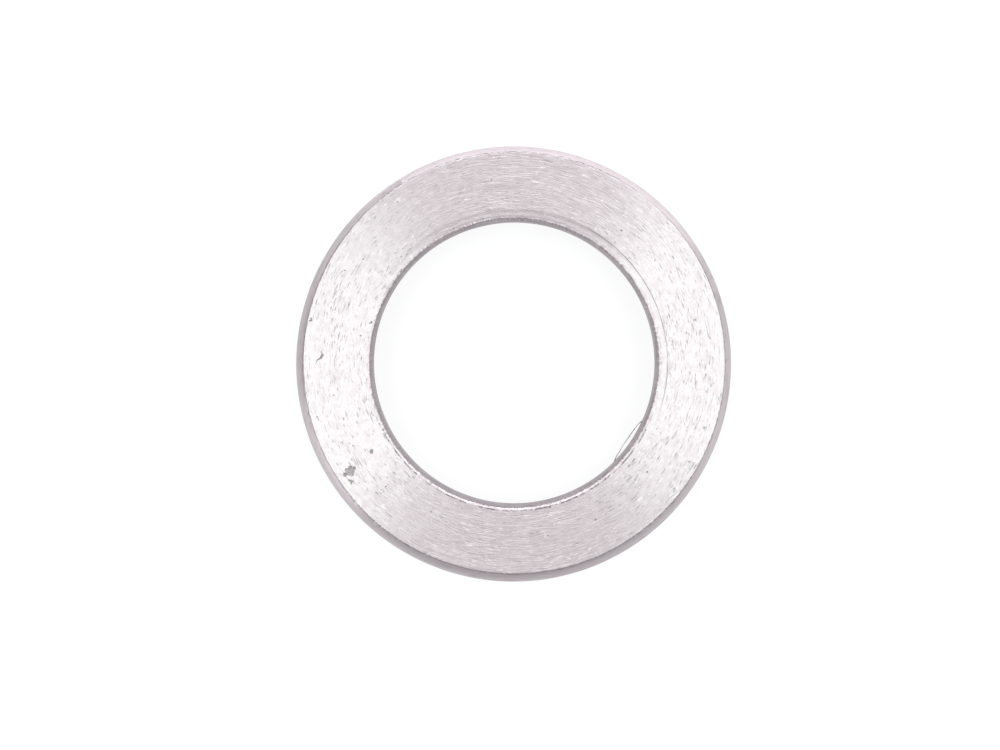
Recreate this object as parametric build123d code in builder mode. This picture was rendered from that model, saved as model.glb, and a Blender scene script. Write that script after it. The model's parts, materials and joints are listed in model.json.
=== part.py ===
from build123d import *
import os
from math import sqrt

# Shim ring: a flat ring turned from steel bar, which takes up a gap along a 25 mm shaft.
# The origin is on the bore's axis, at the underside. +Z points out of the top face.

# Driving dimensions, in millimetres
outer_diameter = 38.0
bore_diameter = 25.1  # clears a 25 mm shaft
thickness = 3.0
rim_chamfer = 0.75  # 45 degrees, on the top face only
bore_chamfer = 0.17  # 45 degrees, on the top mouth of the bore
underside_rim_break = 0.2
underside_bore_break = 0.1
relief_diameter = 26.7  # the last facing cut stops here, which leaves a relief round the bore
relief_depth = 0.025
tool_nose_radius = 0.4  # rounds the relief's outer wall

# Worked-out sizes
outer_radius = outer_diameter / 2
bore_radius = bore_diameter / 2
relief_radius = relief_diameter / 2
relief_height = thickness - relief_depth
nose_run = sqrt(2 * tool_nose_radius * relief_depth - relief_depth**2)

with BuildPart() as shim_ring:
    # One half of the turned section, anticlockwise from the underside of the bore
    with BuildSketch(Plane.XZ):
        with BuildLine():
            underside = Line(
                (bore_radius + underside_bore_break, 0),
                (outer_radius - underside_rim_break, 0),
            )
            rim = Line(
                (outer_radius, underside_rim_break),
                (outer_radius, thickness - rim_chamfer),
            )
            Line(underside @ 1, rim @ 0)
            top_face = Line(
                (outer_radius - rim_chamfer, thickness),
                (relief_radius, thickness),
            )
            Line(rim @ 1, top_face @ 0)
            relief_wall = RadiusArc(
                top_face @ 1,
                (relief_radius - nose_run, relief_height),
                tool_nose_radius,
            )
            relief_floor = Line(
                relief_wall @ 1,
                (bore_radius + bore_chamfer, relief_height),
            )
            bore = Line(
                (bore_radius, relief_height - bore_chamfer),
                (bore_radius, underside_bore_break),
            )
            Line(relief_floor @ 1, bore @ 0)
            Line(bore @ 1, underside @ 0)
        make_face()
    revolve(axis=Axis.Z)

shim_ring.part.label = "shim_ring"

os.makedirs("parts", exist_ok=True)
export_step(shim_ring.part, "parts/shim_ring.step")
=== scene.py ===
import json
from math import atan2, cos, degrees, hypot, pi, radians, sin

import bpy
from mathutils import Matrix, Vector


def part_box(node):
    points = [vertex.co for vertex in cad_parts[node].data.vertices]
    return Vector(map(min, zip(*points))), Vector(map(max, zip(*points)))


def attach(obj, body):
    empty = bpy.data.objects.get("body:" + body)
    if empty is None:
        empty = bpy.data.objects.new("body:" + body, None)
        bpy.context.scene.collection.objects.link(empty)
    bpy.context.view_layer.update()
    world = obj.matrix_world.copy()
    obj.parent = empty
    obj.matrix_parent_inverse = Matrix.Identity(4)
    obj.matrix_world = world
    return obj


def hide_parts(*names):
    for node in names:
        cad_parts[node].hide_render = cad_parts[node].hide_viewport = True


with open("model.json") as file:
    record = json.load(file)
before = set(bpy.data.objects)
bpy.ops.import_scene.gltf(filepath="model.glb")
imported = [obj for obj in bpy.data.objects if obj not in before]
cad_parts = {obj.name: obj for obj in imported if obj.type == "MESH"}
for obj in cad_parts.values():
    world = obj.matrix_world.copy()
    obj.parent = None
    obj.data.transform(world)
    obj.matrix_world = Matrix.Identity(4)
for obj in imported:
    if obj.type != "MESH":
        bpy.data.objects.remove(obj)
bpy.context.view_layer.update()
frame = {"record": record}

MM = 0.001

# ---------------------------------------------------------------- sizes, in metres

low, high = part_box("shim_ring")
mounts = {mount["name"]: mount for mount in frame["record"]["mounts"]}
outer_radius = mounts["rim"]["dims"]["r_mm"] * MM
bore_radius = mounts["bore"]["dims"]["r_mm"] * MM
thickness = high.z - low.z

rim_chamfer = 0.75 * MM
bore_round = 0.17 * MM
underside_rim_break = 0.2 * MM
underside_bore_break = 0.1 * MM
relief_radius = 13.35 * MM
relief_depth = 0.066 * MM  # where the relief is deepest
relief_azimuth = 25  # the direction in which it is deepest, in degrees
groove_radius = 12.77 * MM
edge_radius = 0.012 * MM

face_edge = outer_radius - rim_chamfer
face_shift = (0.035 * MM, 0.1 * MM)  # the face's outer edge isn't quite concentric with the rim
mouth_height = thickness - bore_round * 1.01  # only the face and the bore's mouth are above it

SEGMENTS = 1440


# ---------------------------------------------------------------- modelling steps

def pick(piece):
    """Makes this piece the only selected one."""
    bpy.ops.object.select_all(action="DESELECT")
    piece.select_set(True)
    bpy.context.view_layer.objects.active = piece


def apply_modifier(piece, kind, **settings):
    """Adds a modifier with these settings and applies it."""
    pick(piece)
    modifier = piece.modifiers.new(kind.lower(), kind)
    for setting, value in settings.items():
        setattr(modifier, setting, value)
    bpy.ops.object.modifier_apply(modifier=modifier.name)


def apply_place(piece):
    """Moves the piece's place, turn and scale into its mesh."""
    pick(piece)
    bpy.ops.object.transform_apply(location=True, rotation=True, scale=True)


def weigh(piece, name, weight):
    """A vertex group whose weights come from weight(radius, height, azimuth in degrees)."""
    group = piece.vertex_groups.new(name=name)
    for vertex in piece.data.vertices:
        x, y, z = vertex.co
        share = weight(hypot(x, y), z, degrees(atan2(y, x)) % 360)
        if share > 0:
            group.add([vertex.index], min(share, 1), "REPLACE")


def turned(name, section):
    """A ring turned about Z, whose closed section is a list of (radius, height)."""
    bpy.ops.object.select_all(action="DESELECT")
    radius, height = section[0]
    bpy.ops.mesh.primitive_circle_add(vertices=SEGMENTS, radius=radius)
    piece = bpy.context.object
    piece.name = name
    pick(piece)
    bpy.ops.object.mode_set(mode="EDIT")
    bpy.ops.mesh.select_all(action="SELECT")
    bpy.ops.transform.translate(value=(0, 0, height))
    for next_radius, next_height in section[1:] + section[:1]:
        grow = next_radius / radius
        bpy.ops.mesh.extrude_region_move()
        bpy.ops.transform.resize(value=(grow, grow, 1))
        bpy.ops.transform.translate(value=(0, 0, next_height - height))
        radius, height = next_radius, next_height
    bpy.ops.mesh.select_all(action="SELECT")
    bpy.ops.mesh.remove_doubles(threshold=1e-7)
    bpy.ops.mesh.normals_make_consistent(inside=False)
    bpy.ops.object.mode_set(mode="OBJECT")
    return piece


def arc_points(centre, radius, start, end, steps):
    """Points on an arc of the section, from start to end degrees."""
    angles = [radians(start + (end - start) * i / steps) for i in range(steps + 1)]
    return [(centre[0] + radius * cos(a), centre[1] + radius * sin(a)) for a in angles]


def ramp(value, start, end):
    """0 at start, 1 at end, and straight between them."""
    return min(max((value - start) / (end - start), 0), 1)


def clouds(name, size, start, end):
    """A cloud texture to displace with: 0 below start, 1 above end, in lumps of about this size."""
    texture = bpy.data.textures.new(name, "CLOUDS")
    texture.noise_scale = size
    texture.noise_depth = 2
    texture.use_color_ramp = True
    dark, light = texture.color_ramp.elements
    dark.position, dark.color = start, (0, 0, 0, 1)
    light.position, light.color = end, (1, 1, 1, 1)
    return texture


def wear_down(piece, name, depth, weight, texture=None, direction="NORMAL"):
    """Sinks part of a piece into itself, by depth where both the weight and the texture are 1."""
    weigh(piece, name, weight)
    settings = {"texture": texture} if texture else {}
    apply_modifier(
        piece, "DISPLACE", strength=-depth, mid_level=0, direction=direction,
        vertex_group=name, **settings
    )


def lumps(name, places):
    """One closed solid of rough lumps that straddle the top face."""
    rough = clouds("pit_rims", 0.09 * MM, 0.2, 0.8)
    solid = None
    for x, y, length, width, depth, turn in places:
        bpy.ops.object.select_all(action="DESELECT")
        bpy.ops.mesh.primitive_ico_sphere_add(
            subdivisions=2,
            radius=1,
            location=(x * MM, y * MM, thickness),
            rotation=(0, 0, radians(turn)),
            scale=(length / 2 * MM, width / 2 * MM, depth * MM),
        )
        lump = bpy.context.object
        apply_place(lump)
        apply_modifier(lump, "DISPLACE", strength=0.5 * depth * MM, texture=rough)
        if solid:
            apply_modifier(solid, "BOOLEAN", object=lump, operation="UNION", solver="EXACT")
            bpy.data.objects.remove(lump)
        else:
            solid = lump
            solid.name = name
    return solid


# ---------------------------------------------------------------- finishes

class Wire:
    """A node's output socket. Arithmetic on it adds Math nodes, and node() adds any other."""

    def __init__(self, tree, socket=None):
        self.tree = tree
        self.socket = socket

    def node(self, kind, settings, sockets, output=0):
        """Adds a node, sets its settings, then its sockets by value or by link."""
        node = self.tree.nodes.new("ShaderNode" + kind)
        for setting, value in settings.items():
            setattr(node, setting, value)
        for key, value in sockets.items():
            if isinstance(value, Wire):
                self.tree.links.new(value.socket, node.inputs[key])
            else:
                node.inputs[key].default_value = value
        return Wire(self.tree, node.outputs[output]) if len(node.outputs) else node

    def also(self, output):
        """Another output of the same node."""
        return Wire(self.tree, self.socket.node.outputs[output])

    def math(self, operation, *others):
        return self.node("Math", {"operation": operation}, dict(enumerate([self, *others])))

    def __add__(self, other):
        return self.math("ADD", other)

    def __sub__(self, other):
        return self.math("SUBTRACT", other)

    def __rsub__(self, other):
        return self.node("Math", {"operation": "SUBTRACT"}, {0: other, 1: self})

    def __mul__(self, other):
        return self.math("MULTIPLY", other)

    def __truediv__(self, other):
        return self.math("DIVIDE", other)

    __radd__ = __add__
    __rmul__ = __mul__

    def between(self, start, end, low=0.0, high=1.0):
        """low at start, high at end, and smooth between them."""
        return self.node(
            "MapRange",
            {"interpolation_type": "SMOOTHSTEP"},
            {"Value": self, "From Min": start, "From Max": end, "To Min": low, "To Max": high},
        )

    def mix(self, first, second):
        """The first colour where this is 0, and the second where it is 1 or more."""
        first, second = [c if isinstance(c, Wire) else (*c, 1) for c in (first, second)]
        return self.node(
            "Mix", {"data_type": "RGBA"}, {0: self, 6: first, 7: second}, output=2
        )


class Turned:
    """A new material with patterns that follow the turning. Its lengths are in millimetres."""

    MIDDLE = 15.5  # the radius at which a mark has its full length
    LEAN = 0.6  # how far a pattern moves on for each millimetre down a wall

    def __init__(self, name):
        self.material = bpy.data.materials.new(name)
        self.material.use_nodes = True
        tree = self.material.node_tree
        self.shader = tree.nodes["Principled BSDF"]
        self.point = Wire(tree).node("TexCoord", {}, {}, output=3)
        x = self.point.node("SeparateXYZ", {}, {0: self.point})
        y, z = x.also(1), x.also(2)
        radius = (x * x + y * y).math("SQRT")
        self.east = x / radius
        self.north = y / radius
        self.radius = radius * 1000
        self.height = z * 1000
        self.across = self.radius - self.height * self.LEAN
        self.across = self.across + self.marks(2.2, 0.9, seed=31) * 0.5  # marks wander a little

    def toward(self, azimuth):
        """1 in this direction from the axis, in degrees, and -1 in the opposite one."""
        return self.east * cos(radians(azimuth)) + self.north * sin(radians(azimuth))

    def line(self, radius, fade, core):
        """A line round the axis: 1 within core of this radius, and 0 from fade on."""
        return (self.radius - radius).math("ABSOLUTE").between(fade, core)

    def marks(self, length, width, detail=1.0, distortion=0.0, seed=0.0):
        """Noise drawn out round the axis. One mark is about length by width."""
        turns = 0.5 * self.MIDDLE / length
        vector = self.point.node(
            "CombineXYZ",
            {},
            {0: self.east * turns + seed, 1: self.north * turns, 2: self.across * (0.5 / width)},
        )
        return self.point.node(
            "TexNoise",
            {},
            {"Vector": vector, "Scale": 1.0, "Detail": detail, "Distortion": distortion},
        )

    def mottle(self, per_mm, detail):
        """Noise in round lumps, about this many to the millimetre."""
        return self.point.node(
            "TexNoise", {}, {"Vector": self.point, "Scale": per_mm * 1000, "Detail": detail}
        )

    def dots(self, spacing, size, share):
        """1 on small round dots, in this share of the cells of a grid."""
        cell = self.point.node(
            "TexVoronoi", {}, {"Vector": self.point, "Scale": 1000 / spacing}
        )
        chance = self.point.node("SeparateColor", {}, {0: cell.also(1)})
        here = chance.math("LESS_THAN", share)
        return here * cell.between(size / spacing * 0.6, size / spacing * 0.35)

    def finish(self, colour, roughness, height, anisotropy):
        """Connects the shader. The height is in millimetres."""
        sockets = self.shader.inputs
        links = self.material.node_tree.links
        links.new(colour.socket, sockets["Base Color"])
        links.new(roughness.socket, sockets["Roughness"])
        bump = self.point.node("Bump", {}, {"Distance": MM, "Height": height})
        links.new(bump.socket, sockets["Normal"])
        sockets["Metallic"].default_value = 1
        sockets["Anisotropic"].default_value = anisotropy
        sockets["Anisotropic Rotation"].default_value = 0.25
        return self.material


def turned_face():
    steel = Turned("turned_face")
    relief = relief_radius / MM

    # The tool's grooves, and the strokes in them
    grooves = steel.marks(5, 0.1, detail=2)
    swells = steel.marks(1.1, 0.16, detail=2, distortion=0.5, seed=23)
    strokes = steel.marks(0.5, 0.055, detail=2, distortion=0.6, seed=3)

    # Dark dashes where the steel tore: fewer at the back and the front, and hardly any in the
    # relief at the right
    busy = steel.marks(3.5, 1.0, detail=2, seed=7)
    cuts = steel.marks(0.34, 0.05, detail=1, distortion=0.7, seed=11) + busy * 0.3
    clean = steel.radius.between(relief + 0.07, relief - 0.05) * steel.east.between(0.2, 0.6)
    dash = cuts.between(0.725, 0.9)
    dash = dash * steel.north.math("ABSOLUTE").between(0.5, 0.95, 0.62, 0.34)
    dash = dash * (1 - clean * 0.85)
    dot = steel.dots(0.8, 0.11, 0.12)

    # Painted shade: a dark line in the corner at the foot of the relief's wall, a soft shade on its
    # slope at the back, and shade in the broken groove in front
    # painted shade in the corner at the foot of the relief's wall, at the right, broken in places
    painted_corner_shade = steel.line(relief - 0.06, 0.07, 0.02) * steel.toward(21.7).between(0.68, 0.88)
    painted_corner_shade = painted_corner_shade * steel.marks(1.5, 0.5, seed=41).between(0.3, 0.5, 0.45, 1.0)
    # painted shade on the relief's gentle slope at the back
    slope = steel.line(relief - 0.13, 0.26, 0.04) * steel.north.between(0.5, 0.85)
    # painted shade in the broken groove in front of the bore's mouth, in ragged patches
    painted_groove_shade = steel.line(groove_radius / MM + 0.03, 0.09, 0.03) * steel.north.between(-0.25, -0.5)
    painted_groove_shade = painted_groove_shade * steel.marks(0.3, 0.1, detail=2, seed=51).between(0.44, 0.56)
    # dark dashes and dots in the steel, together with the painted shade of the corner, slope and
    # groove
    marks_and_painted_shade = dash + dot * 0.6 + painted_corner_shade * 0.6 + slope * 0.2 + painted_groove_shade * 0.75

    # Pale steel with grey in it, and painted glints: white marks and dots in the colour
    pale, grey, painted_glint_white, dark = (
        (0.83, 0.756, 0.79), (0.765, 0.686, 0.717), (1, 0.96, 0.97), (0.24, 0.21, 0.225)
    )
    # painted highlights: short white marks and dots mixed into the base colour
    painted_glint = steel.marks(0.28, 0.07, detail=1, distortion=0.7, seed=61).between(0.62, 0.74)
    painted_glint = painted_glint + steel.dots(0.93, 0.1, 0.22)
    ground = steel.mottle(1.4, detail=3).between(0.35, 0.65).mix(pale, grey)
    ground = (painted_glint * 0.85).mix(ground, painted_glint_white)
    return steel.finish(
        colour=marks_and_painted_shade.mix(ground, dark),
        roughness=grooves.between(0.3, 0.7, 0.4, 0.46),
        height=grooves * 0.006 + swells * 0.06 + strokes * 0.052 - dash * 0.035 - dot * 0.02,
        anisotropy=0.9,
    )


def pit_floor():
    steel = Turned("pit_floor")
    lumpy = steel.mottle(9, detail=2)
    return steel.finish(
        colour=lumpy.between(0.35, 0.6).mix((0.3, 0.265, 0.27), (0.53, 0.475, 0.485)),
        roughness=lumpy.between(0.3, 0.7, 0.55, 0.7),
        height=lumpy * 0.03,
        anisotropy=0.0,
    )


def turned_chamfer():
    steel = Turned("turned_chamfer")
    streaks = steel.marks(2.5, 0.1, detail=2, distortion=0.3)
    blotch = steel.marks(0.5, 0.12, detail=1, distortion=0.5, seed=5).between(0.58, 0.72)

    # A ragged dark line along the face's edge
    nibbles = steel.marks(0.22, 0.2, detail=1, seed=19)
    shift_x, shift_y = face_shift[0] / MM, face_shift[1] / MM
    run = steel.radius - steel.east * shift_x - steel.north * shift_y + nibbles * 0.2
    inner = run.between(face_edge / MM + 0.25, face_edge / MM + 0.15)

    dark = inner * 0.55 + blotch * 0.25 + streaks.between(0.45, 0.7) * 0.12
    return steel.finish(
        colour=dark.mix((0.555, 0.497, 0.526), (0.2, 0.18, 0.19)),
        roughness=streaks.between(0.3, 0.7, 0.28, 0.38),
        height=streaks * 0.008 - blotch * 0.006,
        anisotropy=0.7,
    )


def bored_wall():
    steel = Turned("bored_wall")
    streaks = steel.marks(3, 0.1, detail=2, distortion=0.3)
    stain = steel.marks(1.6, 0.3, detail=3, distortion=0.4, seed=5).between(0.4, 0.75)
    dark = stain * 0.6 + streaks.between(0.5, 0.7) * 0.2
    return steel.finish(
        colour=dark.mix((0.36, 0.315, 0.34), (0.2, 0.165, 0.19)),
        roughness=streaks.between(0.3, 0.7, 0.34, 0.46),
        height=streaks * 0.012,
        anisotropy=0.6,
    )


def turned_rim():
    steel = Turned("turned_rim")
    ridges = steel.marks(30, 0.07, detail=1)
    streaks = steel.marks(3, 0.1, detail=2, distortion=0.3, seed=9)
    nicks = steel.marks(0.4, 0.1, detail=1, distortion=0.5, seed=13).between(0.66, 0.76)
    dark = nicks * 0.4 + streaks.between(0.45, 0.7) * 0.15
    return steel.finish(
        colour=dark.mix((0.6, 0.54, 0.57), (0.25, 0.22, 0.235)),
        roughness=streaks.between(0.3, 0.7, 0.3, 0.4),
        height=ridges * 0.012 + streaks * 0.008 - nicks * 0.01,
        anisotropy=0.6,
    )


# ---------------------------------------------------------------- the ring

def ring_section():
    """The turned section, anticlockwise from the underside of the bore."""
    band = 0.08 * MM  # between the rings that keep the shading flat beside an edge
    section = [
        (bore_radius + underside_bore_break, 0),
        (outer_radius - underside_rim_break, 0),
        (outer_radius, underside_rim_break),
        (outer_radius, thickness - rim_chamfer),
        (face_edge + 2 * band, thickness - 2 * band),
        (face_edge + band, thickness - band),
        (face_edge, thickness),
        (face_edge - band, thickness),
        (face_edge - 2 * band, thickness),
    ]
    # Rings in the face, in millimetres, close together on the relief's wall and at the groove
    for radius in (
        17, 15.8, 14.6, 13.4, 13.35, 13.31, 13.27, 13.2, 13.1, 12.95, 12.82, 12.77, 12.74
    ):
        section.append((radius * MM, thickness))
    centre = (bore_radius + bore_round, thickness - bore_round)
    section += arc_points(centre, bore_round, 90, 180, 5)
    section += [
        (bore_radius, thickness - bore_round - band),
        (bore_radius, thickness - bore_round - 2 * band),
        (bore_radius, underside_bore_break),
    ]
    return section


def relief_weight(radius, height, azimuth):
    """The relief runs out opposite its deepest place. Its wall is gentle at the back."""
    if height < mouth_height:
        return 0
    depth = (0.5 + 0.5 * cos(radians(azimuth - relief_azimuth))) ** 2
    gentle = ramp(azimuth, 55, 75) * ramp(azimuth, 200, 150)
    wall = (0.08 + 0.26 * gentle) * MM
    return depth * ramp(radius, relief_radius, relief_radius - wall)


def groove_weight(radius, height, azimuth):
    """A broken groove just outside the mouth of the bore, at the front and the right."""
    near = ramp(abs(radius - groove_radius), 0.02 * MM, 0)
    front = ramp(azimuth, 190, 215) * ramp(azimuth, 345, 330)
    right = max(ramp(azimuth, 32, 26), ramp(azimuth, 352, 356))
    return near * max(front, right)


def worn_weight(radius, height, azimuth):
    """The mouth of the bore is worn to a slope at the back."""
    if height < mouth_height:
        return 0
    back = ramp(azimuth, 48, 80) * ramp(azimuth, 130, 100)
    return back * ramp(radius, 12.83 * MM, 12.7 * MM)


def face_edge_weight(radius, height, azimuth):
    """The face's outer edge, with the rings beside it."""
    return 1 if height > thickness - 0.1 * MM and radius > face_edge - 0.5 * MM else 0


def chipped_weight(radius, height, azimuth):
    """The edge between the face and the chamfer."""
    if height < thickness - rim_chamfer / 2:
        return 0
    return ramp(abs(radius - face_edge), 0.05 * MM, 0.02 * MM)


def mouth_weight(radius, height, azimuth):
    """The bore's wall and the round of its mouth, near the top."""
    if height < thickness - 0.3 * MM:
        return 0
    return ramp(radius, bore_radius + bore_round * 1.1, bore_radius + bore_round * 0.9)


# Pits and nicks in the top face: x, y, long, wide, deep in millimetres, and the turn in degrees
PITS = [
    # the large pit
    (-14.15, -9.40, 0.85, 0.72, 0.09, 20),
    (-13.85, -9.15, 0.48, 0.36, 0.08, 35),
    (-14.56, -9.66, 0.40, 0.34, 0.10, 40),
    (-14.10, -9.04, 0.38, 0.30, 0.10, 0),
    (-14.46, -9.24, 0.28, 0.26, 0.07, 0),
    (-13.96, -9.66, 0.38, 0.32, 0.07, 60),
    # the small one below it
    (-14.06, -10.20, 0.52, 0.18, 0.08, -12),
    (-14.02, -10.36, 0.17, 0.30, 0.08, 10),
    (-14.24, -10.10, 0.16, 0.14, 0.06, 0),
    # the round one near the bore
    (-12.33, -7.70, 0.36, 0.40, 0.07, 0),
    (-12.24, -7.58, 0.16, 0.16, 0.09, 0),
    # the hooked scratch
    (-16.60, 0.58, 0.26, 0.34, 0.09, 12),
    (-16.70, 0.40, 0.34, 0.26, 0.09, 40),
    (-16.88, 0.26, 0.30, 0.12, 0.05, 15),
    (-17.04, 0.12, 0.26, 0.09, 0.05, 52),
    (-17.12, -0.06, 0.20, 0.06, 0.04, 75),
    (-16.70, 0.86, 0.13, 0.12, 0.06, 0),
    # single dots and dashes
    (-7.18, -12.87, 0.16, 0.16, 0.06, 0),
    (-11.85, -11.24, 0.34, 0.09, 0.04, -40),
    (-11.07, -10.69, 0.16, 0.15, 0.06, 0),
    (-17.57, 3.68, 0.20, 0.34, 0.08, 10),
    (-17.62, 3.60, 0.34, 0.14, 0.06, 15),
    (-12.39, 3.45, 0.16, 0.28, 0.07, -12),
    (-12.52, 3.38, 0.24, 0.12, 0.05, 20),
    (-13.32, 2.29, 0.18, 0.18, 0.06, 0),
    (-13.15, 8.92, 0.17, 0.14, 0.05, 0),
    (-14.71, 7.93, 0.15, 0.13, 0.05, 0),
    (-10.20, 13.91, 0.16, 0.14, 0.05, 0),
    (-12.14, 12.55, 0.32, 0.08, 0.04, 42),
    (-2.05, 15.85, 0.16, 0.13, 0.05, 0),
    (-9.85, 9.14, 0.14, 0.13, 0.05, 0),
    (9.31, 11.48, 0.22, 0.20, 0.06, 0),
    (12.22, 8.88, 0.16, 0.14, 0.05, 0),
    (13.81, 9.14, 0.42, 0.08, 0.04, -56),
    (15.73, 3.68, 0.20, 0.18, 0.05, 0),
    (14.96, 2.55, 0.10, 0.26, 0.04, 22),
    (17.02, 2.10, 0.30, 0.08, 0.04, -62),
    (16.62, -1.10, 0.10, 0.34, 0.04, 0),
    (6.97, -13.58, 0.20, 0.18, 0.05, 0),
    (2.87, -14.93, 0.15, 0.13, 0.05, 0),
    (11.48, -9.50, 0.20, 0.17, 0.05, 0),
    (15.13, -8.64, 0.17, 0.14, 0.05, 0),
    (16.43, -5.69, 0.22, 0.20, 0.05, 0),
    (-15.60, -2.86, 0.15, 0.17, 0.05, 0),
    (-14.72, -4.90, 0.14, 0.22, 0.05, 0),
    (-17.00, -4.70, 0.13, 0.15, 0.05, 0),
    (-13.90, -7.20, 0.18, 0.12, 0.05, 0),
    # nicks in the edge of the bore
    (-10.16, 7.48, 0.18, 0.22, 0.12, 50),
    (-11.30, -5.82, 0.24, 0.20, 0.12, 20),
    (-11.08, -6.16, 0.34, 0.07, 0.07, -62),
    (-9.90, -8.06, 0.60, 0.10, 0.10, -50),
    (3.06, -12.45, 0.24, 0.22, 0.12, 0),
    (1.86, -12.66, 0.20, 0.20, 0.10, 0),
    (-5.30, 11.60, 0.24, 0.18, 0.08, 0),
    # the torn stretch of the relief's wall
    (10.30, -8.48, 0.55, 0.09, 0.07, 50),
    (9.86, -8.96, 0.40, 0.08, 0.06, 47),
]

FACE, CHAMFER, WALL, RIM = range(4)


def finish_at(radius, height):
    """Which finish a face of the ring has, before any wear."""
    if radius > face_edge and height > thickness - rim_chamfer:
        return CHAMFER
    if radius < bore_radius + 0.02 * MM:
        return WALL
    if radius > outer_radius - 0.15 * MM:
        return RIM
    return FACE


def turned_ring():
    """The ring with its finishes, its wear and its pits."""
    ring = turned("turned_ring", ring_section())
    apply_modifier(
        ring, "BEVEL", width=edge_radius, segments=2, limit_method="ANGLE",
        angle_limit=radians(30)
    )
    for finish in (turned_face(), turned_chamfer(), bored_wall(), turned_rim()):
        ring.data.materials.append(finish)
    for face in ring.data.polygons:
        x, y, z = face.center
        face.material_index = finish_at(hypot(x, y), z)

    wear_down(
        ring, "chipped_edge", 0.06 * MM, chipped_weight,
        clouds("rim_chips", 0.15 * MM, 0.38, 0.68)
    )
    weigh(ring, "face_edge", face_edge_weight)
    for direction, shift in zip("XY", face_shift):
        apply_modifier(
            ring, "DISPLACE", strength=shift, mid_level=0, direction=direction,
            vertex_group="face_edge"
        )
    wear_down(ring, "relief", relief_depth, relief_weight, direction="Z")
    wear_down(ring, "worn_mouth", 0.11 * MM, worn_weight, direction="Z")
    wear_down(
        ring, "groove", 0.07 * MM, groove_weight,
        clouds("broken_groove", 0.22 * MM, 0.42, 0.6), "Z"
    )
    wear_down(
        ring, "bore_mouth", 0.06 * MM, mouth_weight,
        clouds("mouth_chips", 0.16 * MM, 0.36, 0.62)
    )
    ring.vertex_groups.clear()

    pits = lumps("pits", PITS)
    pits.data.materials.append(pit_floor())
    apply_modifier(
        ring, "BOOLEAN", object=pits, operation="DIFFERENCE", solver="EXACT",
        material_mode="TRANSFER"
    )
    bpy.data.objects.remove(pits)
    pick(ring)
    bpy.ops.object.shade_smooth_by_angle(angle=radians(35))
    return ring


ring = turned_ring()
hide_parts("shim_ring")
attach(ring, "root")


def bore_burr():
    """A fine wire of swarf that still hangs on the lower edge of the bore."""
    data = bpy.data.curves.new("bore_burr", "CURVE")
    data.dimensions = "3D"
    data.bevel_depth = 0.034 * MM
    data.bevel_resolution = 3
    data.use_fill_caps = True
    spline = data.splines.new("NURBS")
    # x, y and z in millimetres, and how thick the wire is there
    line = [
        (11.50, -5.25, 0.18, 1.6), (11.36, -5.30, 0.16, 1.3), (11.17, -5.45, 0.12, 1.0),
        (10.93, -5.70, 0.10, 0.8), (10.66, -6.09, 0.10, 0.9), (10.45, -6.35, 0.12, 1.0),
        (10.19, -6.74, 0.14, 1.2), (9.90, -7.15, 0.14, 0.9), (9.63, -7.50, 0.12, 0.8),
        (9.38, -8.01, 0.10, 1.0), (9.04, -8.49, 0.10, 1.1), (8.93, -8.82, 0.14, 1.5),
    ]
    spline.points.add(len(line) - 1)
    for point, (x, y, z, thick) in zip(spline.points, line):
        point.co = (x * MM, y * MM, z * MM, 1)
        point.radius = thick
    spline.order_u = 3
    spline.use_endpoint_u = True
    burr = bpy.data.objects.new("bore_burr", data)
    bpy.context.scene.collection.objects.link(burr)
    pick(burr)
    bpy.ops.object.convert(target="MESH")
    burr = bpy.context.object
    burr.name = "bore_burr"
    apply_modifier(
        burr, "DISPLACE", strength=0.03 * MM, texture=clouds("burr_bumps", 0.12 * MM, 0.2, 0.8)
    )
    bpy.ops.object.shade_smooth_by_angle(angle=radians(60))
    burr.data.materials.append(bpy.data.materials["bored_wall"])
    return burr


burr = bore_burr()
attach(burr, "root")


# ---------------------------------------------------------------- stage, light and camera

def pale_floor():
    """A floor that lights the ring softly from below, and shows as plain white."""
    bpy.ops.object.select_all(action="DESELECT")
    bpy.ops.mesh.primitive_circle_add(
        vertices=96, radius=2, fill_type="NGON", location=(0, 0, -0.01 * MM)
    )
    sheet = bpy.context.object
    sheet.name = "pale_floor"
    material = bpy.data.materials.new("pale_floor")
    material.use_nodes = True
    tree = material.node_tree
    tree.nodes.clear()
    wire = Wire(tree)
    path = wire.node("LightPath", {}, {})
    seen = path.math("MAXIMUM", path.also("Is Glossy Ray"))
    seen = seen.math("MAXIMUM", path.also("Is Transmission Ray"))
    diffuse = wire.node("BsdfDiffuse", {}, {"Color": (0.2, 0.2, 0.2, 1)})
    glow = wire.node("Emission", {}, {"Strength": seen * 0.8})
    both = wire.node("AddShader", {}, {0: diffuse, 1: glow})
    wire.node("OutputMaterial", {}, {"Surface": both})
    sheet.data.materials.append(material)


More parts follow.
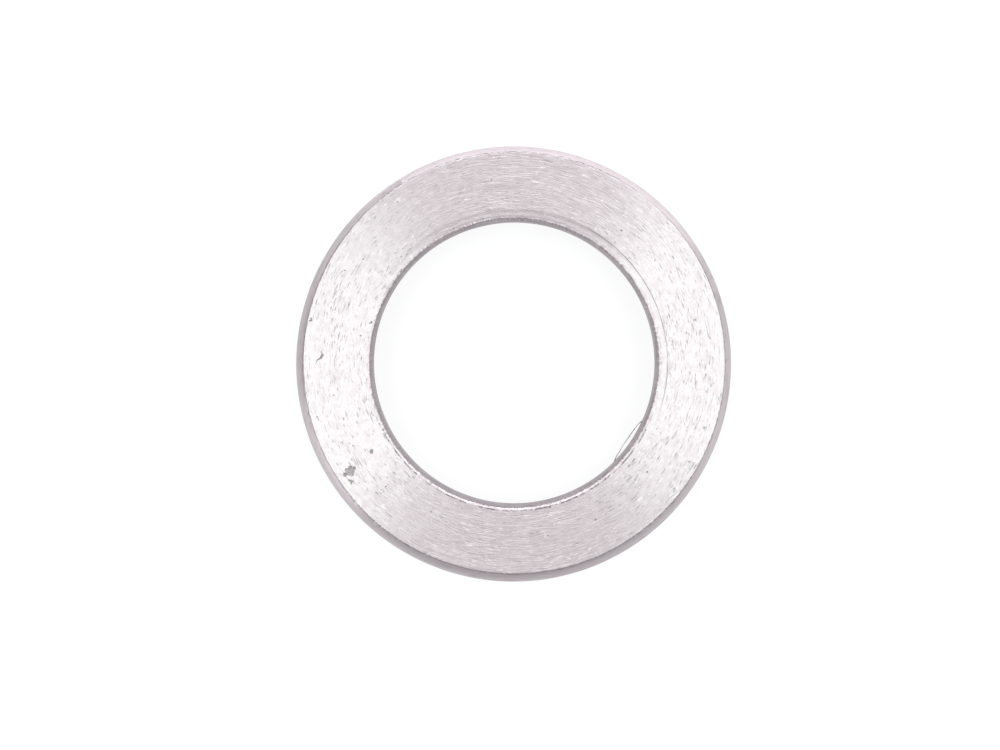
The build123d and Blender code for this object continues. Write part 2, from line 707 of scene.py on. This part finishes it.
def softbox(name, azimuth, elevation, distance, width, height, radiance, colour=(1, 1, 1)):
    """A square-cornered lamp that faces the ring. Angles are in degrees, lengths in metres."""
    data = bpy.data.lights.new(name, "AREA")
    data.shape = "RECTANGLE"
    data.size = width
    data.size_y = height
    data.energy = radiance * pi * width * height
    data.color = colour
    lamp = bpy.data.objects.new(name, data)
    a, e = radians(azimuth), radians(elevation)
    away = Vector((cos(a) * cos(e), sin(a) * cos(e), sin(e)))
    lamp.location = away * distance
    lamp.rotation_euler = away.to_track_quat("Z", "Y").to_euler()
    bpy.context.scene.collection.objects.link(lamp)


def studio_air():
    """Soft white light from all round, brighter overhead and dimmer low down at the left."""
    world = bpy.data.worlds.new("studio")
    bpy.context.scene.world = world
    world.use_nodes = True
    background = world.node_tree.nodes["Background"].inputs
    sky = Wire(world.node_tree)
    east = sky.node("SeparateXYZ", {}, {0: sky.node("TexCoord", {}, {})})
    height = east.also(2)
    level = height.between(0.1, 0.75, 0.5, 0.8) - east.between(-0.8, -0.98) * 0.17
    world.node_tree.links.new(level.socket, background["Strength"])
    background["Color"].default_value = (1, 1, 1, 1)


def camera_above():
    """A camera on the ring's axis that looks almost straight down."""
    data = bpy.data.cameras.new("camera")
    data.lens = 35.7
    data.clip_start = MM
    data.shift_x = -0.0349
    data.shift_y = -0.0522
    camera = bpy.data.objects.new("camera", data)
    camera.location = (0, 0, thickness + 86 * MM)
    camera.rotation_euler = (radians(2.27), -radians(1.17), 0)
    bpy.context.scene.collection.objects.link(camera)
    bpy.context.scene.camera = camera


pale_floor()
cool = (0.87, 1, 0.94)
softbox("right_softbox", 1, 50, 0.8, 1.1, 0.4, 2.0, cool)
softbox("left_softbox", 181, 50, 0.8, 1.1, 0.4, 2.0, cool)
softbox("back_softbox", 83, 7, 0.8, 1.9, 0.36, 4.2)
softbox("right_fill", -1, 12, 0.9, 0.95, 0.4, 0.62)
softbox("left_fill", 207, 12, 0.9, 0.5, 0.4, 0.75)
studio_air()
camera_above()
bpy.context.scene.view_settings.view_transform = "Standard"
